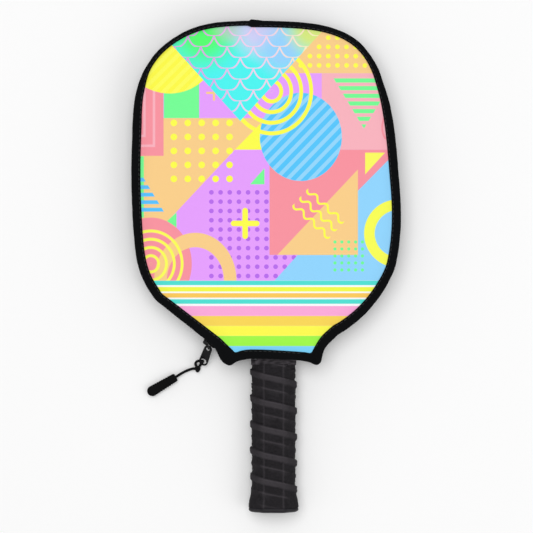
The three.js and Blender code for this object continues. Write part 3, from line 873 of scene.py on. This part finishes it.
def teeth(name, side):
    """One row of nylon coil, each turn reaching a little past the middle between the other row's."""
    shape = [(-0.00042, 0.0004), (0.00042, 0.0004), (0.00052, 0.0014), (0.00042, 0.0024),
             (-0.00042, 0.0024), (-0.00052, 0.0014)]
    levels = ((0.0031, 0.75), (0.0027, 1.0), (0.0002, 1.0), (-0.0003, 0.62))
    size = len(shape)
    points = [(a * s, 0.0014 + (b - 0.0014) * s, side * z) for z, s in levels for a, b in shape]
    faces = ring_faces(len(levels), size)
    if side > 0:
        faces = flipped(faces)
    path = np.array([OUTER[k % EDGE_SAMPLES] for k in ZIP])
    inward = np.array([INWARD[k % EDGE_SAMPLES] for k in ZIP])
    ends = run_length(path)
    start = 0.001 if side > 0 else 0.001 + TOOTH_PITCH / 2
    places = []
    for distance in np.arange(start, ends[-1] - 0.001, TOOTH_PITCH):
        x, y = along_path(distance, ends, path)
        n = unit(along_path(distance, ends, inward))
        places.append((np.array((x, y, MID_Z)), (np.array((n[1], -n[0], 0)), np.array((n[0], n[1], 0)),
                                                 np.array((0, 0, 1.0)))))
    return copies(name, points, faces, places, nylon)


back_coil = teeth("back_coil_turns", -1)
front_coil = teeth("front_coil_turns", 1)


# ---- slider, arch and pull tab ----
ALONG = np.array((0.783302, -0.621642, 0))          # down the straight zip run
OUTWARD = np.array((-0.621642, -0.783302, 0))
UP = np.array((0, 0, 1.0))
SLIDER = np.array((-0.04629, -0.06249, MID_Z))      # on the case's edge, at the slider's middle
ARCH = np.array((-0.046277, -0.065691, MID_Z))
TAB_DROOP, TAB_YAW = math.radians(34), math.radians(15)


def plate_outline(length, height, nose=0.62):
    """A slider plate seen from outside: rounded, and narrower at its nose."""
    points = []
    for a in circle(40):
        x, y = squared(math.cos(a), 0.5), squared(math.sin(a), 0.6)
        points.append((length / 2 * x, height / 2 * y * (1 - (1 - nose) * rounded((x - 0.1) / 0.9))))
    return points


def stack(name, outline, levels, origin, axes, material):
    """A body from one outline at several depths, each shrunk by an inset: axes are along, up and out."""
    reach = max(math.hypot(*p) for p in outline)
    return sweep(name, [[origin + (axes[0] * x + axes[1] * y) * (1 - inset / reach) + axes[2] * depth
                         for x, y in outline] for depth, inset in levels], material)


crown_outline = [(x * 0.7 - 0.0026, y * 0.5) for x, y in plate_outline(0.0078, 0.0090, 0.8)]
slider_pieces = [stack(name, outline, levels, SLIDER, (ALONG, UP, OUTWARD), painted_metal)
                 for name, outline, levels in [
    ("slider_plate", plate_outline(0.0112, 0.0094),
     [(0.0003, 0.0006), (0.0005, 0.0001), (0.0012, 0.0), (0.0016, 0.0003), (0.0019, 0.0009),
      (0.00205, 0.0024)]),
    ("slider_back_plate", plate_outline(0.0112, 0.0092),
     [(-0.0049, 0.0006), (-0.0047, 0.0001), (-0.0041, 0.0), (-0.0038, 0.0005)]),
    ("slider_crown", crown_outline, [(0.0016, 0.0), (0.0029, 0.0001), (0.0035, 0.0005), (0.0038, 0.0013)]),
]]


def arch_path():
    turns = np.linspace(-math.pi / 2, math.pi / 2, 25)
    flat = [ARCH - OUTWARD * 0.0012 - UP * 0.0022]
    flat += [ARCH + 0.0022 * (OUTWARD * math.cos(a) + UP * math.sin(a)) for a in turns]
    return flat + [ARCH - OUTWARD * 0.0012 + UP * 0.0022]


slider_arch = sweep("slider_bail", tube_sections(arch_path(), 0.00072, 12), painted_metal)


def tab_piece():
    """The pull tab: a bevelled plate with a small hole on the bail and a large one for the cord."""
    top, foot, pitch, thickness, bevel = 0.0034, 0.0039, 0.0128, 0.0012, 0.00025
    lean = math.asin((foot - top) / pitch)
    outline = []
    for centre, radius, start, end in ((0, top, math.pi / 2 + lean, 1.5 * math.pi - lean),
                                       (pitch, foot, -math.pi / 2 - lean, math.pi / 2 + lean)):
        outline += [(centre + (radius - bevel) * math.cos(a), (radius - bevel) * math.sin(a))
                    for a in np.linspace(start, end, 24)]
    circles = [[(centre + radius * math.cos(a), radius * math.sin(a)) for a in circle(28)]
               for centre, radius in ((0, 0.0015 + bevel), (pitch, 0.0026 + bevel))]
    data = bpy.data.curves.new("tab_outline", "CURVE")
    data.dimensions = "2D"
    data.fill_mode = "BOTH"
    data.extrude = thickness / 2 - bevel
    data.bevel_depth = bevel
    data.bevel_resolution = 3
    for points in [outline, *circles]:
        spline = data.splines.new("POLY")
        spline.points.add(len(points) - 1)
        for slot, (x, y) in zip(spline.points, points):
            slot.co = (x, y, 0, 1)
        spline.use_cyclic_u = True
    drawn = bpy.data.objects.new("tab_outline", data)
    scene.collection.objects.link(drawn)
    flat = bpy.data.meshes.new_from_object(drawn.evaluated_get(bpy.context.evaluated_depsgraph_get()))
    bpy.data.objects.remove(drawn)
    out = OUTWARD * math.cos(TAB_DROOP) - UP * math.sin(TAB_DROOP)
    normal = OUTWARD * math.sin(TAB_DROOP) + UP * math.cos(TAB_DROOP)
    length = out * math.cos(TAB_YAW) + ALONG * math.sin(TAB_YAW)
    side = np.cross(normal, length)
    hole = ARCH + out * 0.0034
    points = [hole + length * v.co.x + side * v.co.y + normal * v.co.z for v in flat.vertices]
    faces = [tuple(p.vertices) for p in flat.polygons]
    bpy.data.meshes.remove(flat)
    tab = mesh_object("tab_plate", points, faces, painted_metal, smooth=False)
    bm = bmesh.new()
    bm.from_mesh(tab.data)
    bmesh.ops.remove_doubles(bm, verts=bm.verts, dist=1e-6)
    bmesh.ops.recalc_face_normals(bm, faces=bm.faces)
    bm.to_mesh(tab.data)
    bm.free()
    return tab


pull_tab = tab_piece()


# ---- cord, knot and moulded grip ----
cord_path = smooth_path(np.array(CORD_ROUTE) * MM, 8)
pull_cord = sweep("pull_cord_braid", tube_sections(cord_path, CORD_RADIUS, 12), braided)


def knot_piece():
    """A trefoil of cord, pulled tight."""
    centre = np.array(KNOT) * MM
    path = []
    for t in circle(96):
        x = math.sin(t) + 2 * math.sin(2 * t)
        y = math.cos(t) - 2 * math.cos(2 * t)
        path.append(centre + np.array((x * 0.00058, y * 0.00058, -math.sin(3 * t) * 0.00095)))
    return sweep("cord_knot_turns", tube_sections(path, 0.00105, 12, closed=True), braided, loop=True)


cord_knot = knot_piece()
GRIP_START = np.array((-0.0746, -0.0910, 0.003))
GRIP_TURN = math.radians(210.6)
GRIP_LENGTH, GRIP_TIP, GRIP_ROOT = 0.0225, 0.0043, 0.0034   # to the tip's centre, and half widths


def grip_piece():
    """A flat moulded bar: square and ribbed where the cord enters, rounder and wider at its tip."""
    ahead = np.array((math.cos(GRIP_TURN), math.sin(GRIP_TURN), 0))
    side = np.array((-ahead[1], ahead[0], 0))
    sections = []
    distances = np.concatenate([[0.0, 0.0003, 0.0007], np.linspace(0.0011, GRIP_LENGTH, 64),
                                GRIP_LENGTH + GRIP_TIP * np.sin(np.linspace(0.1, 1.5, 14))])
    for d in distances:
        half = GRIP_ROOT + (GRIP_TIP - GRIP_ROOT) * d / GRIP_LENGTH
        tall = 0.0025
        if d < 0.0011:
            half -= 0.0006 * (1 - d / 0.0011) ** 2
            tall -= 0.0007 * (1 - d / 0.0011) ** 2
        if d > GRIP_LENGTH:
            round_off = math.sqrt(max(1 - ((d - GRIP_LENGTH) / GRIP_TIP) ** 2, 0.002))
            half, tall = GRIP_TIP * round_off, tall * round_off ** 0.6
        if 0.005 < d < 0.017:
            rib = 0.00022 * math.sin(2 * math.pi * (d - 0.005) / 0.002)
            half, tall = half + rib, tall + rib * 0.6
        centre = GRIP_START + ahead * d
        sections.append([centre + side * half * squared(math.cos(a), 0.6)
                         + UP * tall * squared(math.sin(a), 0.75) for a in circle(24)])
    return sweep("moulded_grip", sections, soft_rubber)


pull_grip = grip_piece()


# ---- handle ----
HANDLE_X = 0.0058
WRAPPED = (0.0358, 0.0252, 0.0102)   # width, depth and chamfer of the handle between the raised turns
FLARE = (0.0048, 0.0027)             # how much wider and deeper it gets at the butt
BUTT = (0.0407, 0.0280, 0.0106)
NECK = (0.0368, 0.0180, 0.0054)
TURN_RISE = 0.0014                   # height of a raised turn of the wrap
wrap_low, wrap_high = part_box("grip_wrap")
butt_low, butt_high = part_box("butt_cap")
WRAP_PITCH = 0.0214
WRAP_START = -0.0833       # height on the left edge at which the first raised turn begins


def handle_ring(width, depth, chamfer, count=96, soft=0.0022):
    """A flattened octagon with softened corners, as (x, z) points from the left edge over the front."""
    w, d = width / 2, depth / 2
    half = [(-w, 0), (-w, d - chamfer), (chamfer - w, d), (w - chamfer, d), (w, d - chamfer)]
    corners = np.array(half + [(-x, -z) for x, z in half] + half[:1], float)
    ends = run_length(corners)
    total = ends[-1]
    offsets = np.linspace(-soft, soft, 7)
    return np.array([sum(along_path((s + o) % total, ends, corners) for o in offsets) / len(offsets)
                     for s in np.arange(count) * total / count])


def wrap_height(y, turn, x, z):
    """Raised turns of the wrap, the thin overlap line between them, dimples and creases, in metres."""
    phase = (WRAP_START - turn * WRAP_PITCH - y) / WRAP_PITCH
    phase = (phase - math.floor(phase)) * WRAP_PITCH
    raised = rounded(phase / 0.0007) * (1 - rounded((phase - 0.0044) / 0.0024)) * TURN_RISE
    raised += 0.0005 * rounded((phase - 0.0118) / 0.0005) * (1 - rounded((phase - 0.0125) / 0.005))
    crease = 0.0006 * max(0.0, wobble(x, y * 2.5, z, 0.0042)) * rounded((phase - 0.007) / 0.002)
    rough = 0.00024 * wobble(x, y, z, 0.0021) + 0.0003 * wobble(x, y, z, 0.009)
    raised -= 0.0005 * math.exp(-((WRAP_PITCH - phase) / 0.0006) ** 2)
    raised *= 1 - rounded((-0.1860 - y) / 0.003)
    if y > WRAP_START - turn * WRAP_PITCH + 0.0003:
        rough += 0.0006 * wobble(x, y * 3.2, z, 0.005)
        raised *= 0.35
    return raised + rough - crease, phase


def relieved(piece, relief):
    """Gives each point of a piece its relief, from 0 in the grooves to 1 on the raised turns: a shade that
    the leather mixes towards its light colour, which is painted light and painted highlights on the wrap, and
    lighter where the tape bulges out on the neck sleeve.
    """
    layer = piece.data.attributes.new("relief", "FLOAT", "POINT")
    layer.data.foreach_set("value", np.clip(relief, 0, 1).astype(np.float32))
    return piece


def wrap_painted_light(lift, phase, x, z, ring):
    """How much lighter each point of the wrap is painted: lighter on the raised turns all round, and on the
    wide front and back facets only, more painted light on those turns and painted highlights along their
    upper lip, the overlap line and the facet corners; the chamfered sides stay in painted shade.
    """
    # painted light: 1 on the wide front and back facets, falling to 0 on the chamfered sides, which stay in
    # painted shade
    lit_facet = rounded((abs(z) / ring[:, 1].max() - 0.6) / 0.4)
    raised = min(max(lift / TURN_RISE, 0.0), 1.0)
    # painted highlights along the raised turn's upper lip, the overlap line and the facet corners between the
    # turns
    lip = math.exp(-((phase - 0.0010) / 0.0005) ** 2)
    overlap = math.exp(-((phase - 0.0122) / 0.0006) ** 2)
    corner = math.exp(-((abs(x) - 0.0081) / 0.0006) ** 2) * (1 - raised)
    return 0.02 + 0.20 * raised + lit_facet * (0.16 * raised + 0.16 * lip + 0.32 * overlap + 0.30 * corner)


def lifted(x, y, z, lift):
    """A handle section's point, moved outwards, in the part's own frame."""
    grown = 1 + lift / math.hypot(x, z)
    return HANDLE_X + x * grown, y, MID_Z + z * grown


def handle_wrap():
    rows, relief = [], []
    stations = np.concatenate([[wrap_high.y], np.arange(wrap_high.y - 0.0004, wrap_low.y + 0.0003, -0.0005),
                               [wrap_low.y + 0.0002]])
    for y in stations:
        flare = rounded((-0.1795 - y) / 0.017)
        width, depth, chamfer = WRAPPED
        ring = handle_ring(width + FLARE[0] * flare, depth + FLARE[1] * flare, chamfer)
        row = []
        for j, (x, z) in enumerate(ring):
            lift, phase = wrap_height(y, j / len(ring), x, z)
            out, _, height = lifted(x, y, z, lift)
            row.append((out, y, min(max(height, 0.0002), CASE_DEPTH - 0.0002)))
            # the point's painted light and painted highlights, kept as its relief
            relief.append(wrap_painted_light(lift, phase, x, z, ring))
        rows.append(row)
    return relieved(sweep("wrapped_grip", rows, grip_leather), relief)


def butt_piece():
    sections = []
    for y, shrink in ((wrap_low.y + 0.0004, 0.0004), (butt_high.y - 0.0004, 0.0), (butt_low.y + 0.0018, 0.0),
                      (butt_low.y + 0.0010, 0.0004), (butt_low.y + 0.0004, 0.0012), (butt_low.y, 0.0026),
                      (butt_low.y, 0.0034), (butt_low.y + 0.0004, 0.0040), (butt_low.y + 0.0004, 0.0100)):
        ring = handle_ring(*BUTT) * (1 - shrink / 0.014)
        sections.append([(HANDLE_X + x, y, MID_Z + z) for x, z in ring])
    return sweep("butt_end", sections, cap_rubber)


def neck_sleeve():
    """Finishing tape round the neck, between the throat and the wrap."""
    sections, relief = [], []
    neck = handle_ring(*NECK, soft=0.0014)
    for y in np.arange(-0.0700, wrap_high.y - 0.0012, -0.0005):
        row = []
        for x, z in neck:
            lift = 0.0004 * wobble(x, y * 3, z, 0.004)
            relief.append(0.4 + lift / 0.0006)
            row.append(lifted(x, y, z, lift))
        sections.append(row)
    return relieved(sweep("neck_sleeve", sections, grip_leather), relief)


wrapped_grip = handle_wrap()
butt_end = butt_piece()
sleeve = neck_sleeve()

# ---- each piece's body, material slot and the CAD nodes that it stands for ----
CASE, COVER = "case_back", "front_cover"
for piece, body, slot, *stood_for in [
    (front_panel, COVER, "printed_neoprene", "front_panel"),
    (back_panel, CASE, "plain_neoprene", "back_panel"),
    (back_rim, CASE, "binding_tape", "back_rim_binding"),
    (front_rim, COVER, "binding_tape", "front_rim_binding"),
    (back_throat, CASE, "binding_tape", "back_throat_binding"),
    (front_throat, COVER, "binding_tape", "front_throat_binding"),
    (back_tape, CASE, "zip_tape", "back_zip_tape"), (front_tape, COVER, "zip_tape", "front_zip_tape"),
    (back_coil, CASE, "zip_coil", "back_zip_coil"), (front_coil, COVER, "zip_coil", "front_zip_coil"),
    (slider_pieces[0], "slider", "slider_metal", "slider_body"),
    *[(piece, "slider", "slider_metal") for piece in slider_pieces[1:]],
    (slider_arch, "slider", "slider_metal", "slider_arch"),
    (pull_tab, "pull_tab", "slider_metal", "pull_tab"),
    (pull_cord, "pull_cord", "cord", "cord_loop", "pull_cord"), (cord_knot, "pull_cord", "cord", "cord_knot"),
    (pull_grip, "pull_cord", "moulded_grip", "pull_grip"), (wrapped_grip, CASE, "grip_wrap", "grip_wrap"),
    (sleeve, CASE, "grip_wrap"), (butt_end, CASE, "butt_cap", "butt_cap"),
]:
    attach(piece, body)
    if stood_for:
        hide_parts(*stood_for)
for piece, body in stitch_lines:
    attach(piece, body)
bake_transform(gusset)
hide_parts("side_gusset_back", "side_gusset_front")

for name, material in [("paddle_face_front", face_weave), ("paddle_face_back", face_weave),
                       ("edge_guard", guard_plastic), ("paddle_core", honeycomb),
                       ("handle_pallet_front", foam), ("handle_pallet_back", foam)]:
    nodes[name].data.materials.clear()
    nodes[name].data.materials.append(material)


# ---- the panel edge's flat size and area ----
def flat_area(edge):
    x, y = edge[:, 0], edge[:, 1]
    return abs(float((x * np.roll(y, -1) - y * np.roll(x, -1)).sum())) / 2


panel_edge = OUTER + INWARD * (WIDTH * 0.45)[:, None]
flat_size = tuple(float(s) for s in panel_edge.max(0) - panel_edge.min(0))
for cloth, held, support, tapes in [(front_panel, "stretched", "edge_guard", [front_rim, front_throat]),
                                    (back_panel, "laid", "floor", [back_rim, back_throat])]:
    flat_area(panel_edge)


# ---- floor and light ----
def add_floor():
    material, _, _ = bare_material("pale_floor", Base_Color=(0.97, 0.97, 0.97, 1), Roughness=0.9,
                                   Specular_IOR_Level=0.1)
    points = [(3 * math.cos(a), 3 * math.sin(a), 0) for a in circle(64)]
    floor = mesh_object("floor", points, [tuple(range(64))], material, smooth=False)
    floor.location.z = -0.00005


def add_light(name, place, size, power):
    data = bpy.data.lights.new(name, "AREA")
    data.shape = "DISK"
    data.size = size
    data.energy = power
    light = bpy.data.objects.new(name, data)
    light.location = place
    light.rotation_mode = "QUATERNION"
    light.rotation_quaternion = (-Vector(place)).to_track_quat("-Z", "Y")
    scene.collection.objects.link(light)


def add_world():
    world = bpy.data.worlds.new("studio")
    world.use_nodes = True
    background = world.node_tree.nodes["Background"]
    background.inputs["Color"].default_value = (1, 1, 1, 1)
    background.inputs["Strength"].default_value = 0.54
    scene.world = world


add_floor()
add_world()
add_light("key", (-0.3, 0.45, 2.7), 2.2, 34)
add_light("fill", (1.4, -0.8, 1.7), 1.6, 7)
scene.view_settings.view_transform = "Standard"
